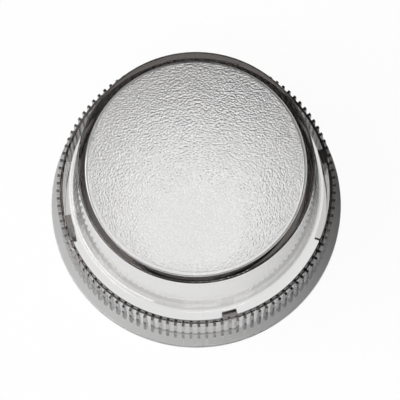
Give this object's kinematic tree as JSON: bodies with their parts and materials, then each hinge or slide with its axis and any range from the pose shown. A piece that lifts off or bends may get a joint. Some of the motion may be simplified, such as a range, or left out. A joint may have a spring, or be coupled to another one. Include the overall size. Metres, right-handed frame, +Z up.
{
  "type": "rear lens cap",
  "caption": "Tall clear rear lens cap: a stepped drum with a grained closed face, a ribbed skirt, a foot flange and bayonet claws inside the mouth.",
  "frame": {"origin": "middle of the open mouth's rim, on the plane that the cap stands on", "axes": "+Z up the axis from the mouth to the closed face; +X lies 15 degrees clockwise, seen from above, of the middle of one bayonet stop"},
  "size_m": [0.0492, 0.0492, 0.0278],
  "materials": {
    "clear_smoke_plastic": "clear, faintly smoky moulded plastic, polished, with a fine grain on the closed face"
  },
  "bodies": {
    "root": {"rear_cap": "clear_smoke_plastic"}
  },
  "joints": []
}
